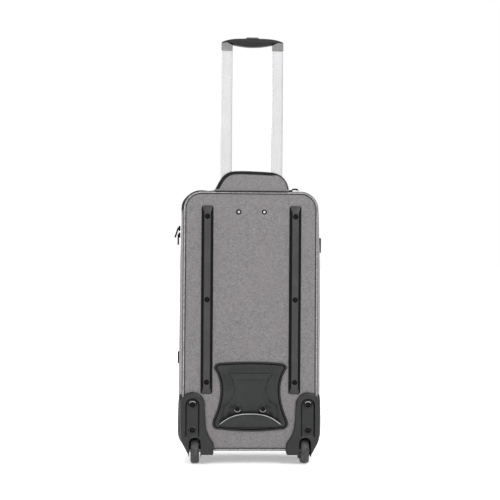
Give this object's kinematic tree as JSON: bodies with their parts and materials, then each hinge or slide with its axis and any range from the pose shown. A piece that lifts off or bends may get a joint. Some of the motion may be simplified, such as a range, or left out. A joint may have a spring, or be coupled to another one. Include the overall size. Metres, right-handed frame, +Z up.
{
  "type": "rolling laptop case",
  "caption": "Soft-sided upright rolling laptop case with a telescopic trolley handle, fold-back handle cover, hinged front lid, zipped pockets and fixed rear wheels.",
  "frame": {"origin": "on the floor below the middle of the standing case", "axes": "+Z up, -Y towards the back panel with the skid rails and the trolley handle, +X towards the lid hinge"},
  "size_m": [0.3452, 0.2355, 0.98],
  "materials": {
    "heather_fabric": "heather-grey woven polyester",
    "black_fabric": "black tape and webbing",
    "lining_fabric": "dark lining cloth",
    "black_plastic": "fine-textured moulded plastic",
    "grip_rubber": "soft-touch overmould",
    "grey_plastic": "satin moulded plastic",
    "board": "extruded sheet",
    "tube": "polished",
    "fixed_tube": "mill finish",
    "steel": "zinc plated",
    "zip_metal": "black lacquered",
    "chrome": "polished",
    "tyre": "polyurethane tread"
  },
  "bodies": {
    "case": {"shell": "heather_fabric", "back_board": "board", "lining_panel": "lining_fabric", "laptop_sleeve": "lining_fabric", "back_piping": "heather_fabric", "zip_tape_case": "black_fabric", "skid_rail_left": "black_plastic", "skid_rail_right": "black_plastic", "panel_screws": "steel", "kick_plate": "black_plastic", "bracket_screws": "steel", "wheel_housing_left": "black_plastic", "wheel_housing_right": "black_plastic", "upper_bracket": "black_plastic", "lower_bracket": "black_plastic", "outer_tube_left": "fixed_tube", "outer_tube_right": "fixed_tube", "handle_well": "black_plastic", "axle_left": "steel", "axle_right": "steel", "front_feet": "black_plastic", "carry_handle": "black_fabric", "side_tabs": "black_fabric", "flap_zip_slider": "zip_metal"},
    "flap": {"handle_flap": "heather_fabric", "flap_edging": "black_fabric"},
    "flap_pull": {"flap_pull_ring": "chrome", "flap_pull_tab": "zip_metal"},
    "handle": {"inner_tube_left": "tube", "inner_tube_right": "tube", "tube_plug_left": "black_plastic", "tube_plug_right": "black_plastic", "fitting_left": "grey_plastic", "fitting_right": "grey_plastic", "grip_body": "black_plastic", "grip_cover": "grip_rubber", "button_spring": "steel"},
    "button": {"release_button": "black_plastic", "push_yoke": "fixed_tube"},
    "lock_left": {"lock_pin_left": "steel"},
    "lock_right": {"lock_pin_right": "steel"},
    "wheel_left": {"tyre_left": "tyre", "hub_left": "black_plastic", "bearings_left": "steel"},
    "wheel_right": {"tyre_right": "tyre", "hub_right": "black_plastic", "bearings_right": "steel"},
    "lid": {"lid_shell": "heather_fabric", "zip_tape_lid": "black_fabric", "pocket_lower": "heather_fabric", "pocket_upper": "heather_fabric", "pocket_zip_tapes": "black_fabric"},
    "zip_upper": {"main_slider_upper": "zip_metal"},
    "zip_upper_pull": {"main_pull_upper": "zip_metal"},
    "zip_lower": {"main_slider_lower": "zip_metal"},
    "zip_lower_pull": {"main_pull_lower": "zip_metal"},
    "pocket_zip_lower": {"pocket_slider_lower": "zip_metal"},
    "pocket_zip_lower_pull": {"pocket_pull_lower": "zip_metal"},
    "pocket_zip_upper": {"pocket_slider_upper": "zip_metal"},
    "pocket_zip_upper_pull": {"pocket_pull_upper": "zip_metal"}
  },
  "joints": [
    {"name": "handle_slide", "type": "slide", "parent": "case", "child": "handle", "axis": [0, 0, 1], "range_m": [-0.36, 0]},
    {"name": "button_press", "type": "slide", "parent": "handle", "child": "button", "axis": [0, 0, -1], "range_m": [0, 0.003], "stiffness_N_per_m": 1500, "springref_m": -0.002, "deforming": ["button_spring"]},
    {"name": "lock_pin_right_slide", "type": "slide", "parent": "handle", "child": "lock_right", "axis": [0, -1, 0], "range_m": [0, 0.0024]},
    {"name": "lock_pin_left_slide", "type": "slide", "parent": "handle", "child": "lock_left", "axis": [0, -1, 0], "range_m": [0, 0.0024]},
    {"name": "wheel_left_spin", "type": "hinge", "parent": "case", "child": "wheel_left", "pos_m": [-0.126, -0.085, 0.03], "axis": [1, 0, 0], "continuous": true},
    {"name": "wheel_right_spin", "type": "hinge", "parent": "case", "child": "wheel_right", "pos_m": [0.126, -0.085, 0.03], "axis": [1, 0, 0], "continuous": true},
    {"name": "flap_hinge", "type": "hinge", "parent": "case", "child": "flap", "pos_m": [0, -0.109, 0.624], "axis": [1, 0, 0], "range_deg": [-10, 150]},
    {"name": "flap_pull_swing", "type": "hinge", "parent": "case", "child": "flap_pull", "pos_m": [0.0955, -0.096, 0.6295], "axis": [0, -1, 0], "range_deg": [0, 100]},
    {"name": "lid_hinge", "type": "hinge", "parent": "case", "child": "lid", "pos_m": [0.1642, 0.02015, 0.3265], "axis": [0, 0, -1], "range_deg": [0, 110]},
    {"name": "zip_upper_slide", "type": "slide", "parent": "case", "child": "zip_upper", "axis": [0, 0, 1], "range_m": [0, 0.04]},
    {"name": "zip_upper_pull_swing", "type": "hinge", "parent": "zip_upper", "child": "zip_upper_pull", "pos_m": [-0.16875, 0.0229, 0.543], "axis": [0, 1, 0], "range_deg": [0, 125]},
    {"name": "zip_lower_slide", "type": "slide", "parent": "case", "child": "zip_lower", "axis": [0, 0, -1], "range_m": [0, 0.42]},
    {"name": "zip_lower_pull_swing", "type": "hinge", "parent": "zip_lower", "child": "zip_lower_pull", "pos_m": [-0.16875, 0.0171, 0.527], "axis": [0, 1, 0], "range_deg": [0, 140]},
    {"name": "pocket_zip_lower_slide", "type": "slide", "parent": "lid", "child": "pocket_zip_lower", "axis": [1, 0, 0], "range_m": [0, 0.184]},
    {"name": "pocket_zip_lower_pull_swing", "type": "hinge", "parent": "pocket_zip_lower", "child": "pocket_zip_lower_pull", "pos_m": [-0.092, 0.11775, 0.336], "axis": [1, 0, 0], "range_deg": [0, 150]},
    {"name": "pocket_zip_upper_slide", "type": "slide", "parent": "lid", "child": "pocket_zip_upper", "axis": [1, 0, 0], "range_m": [0, 0.184]},
    {"name": "pocket_zip_upper_pull_swing", "type": "hinge", "parent": "pocket_zip_upper", "child": "pocket_zip_upper_pull", "pos_m": [-0.092, 0.11775, 0.529], "axis": [1, 0, 0], "range_deg": [0, 150]}
  ],
  "couplings": [
    {"joint": "lock_pin_right_slide", "follows": "button_press", "ratio": 0.8},
    {"joint": "lock_pin_left_slide", "follows": "button_press", "ratio": 0.8}
  ]
}
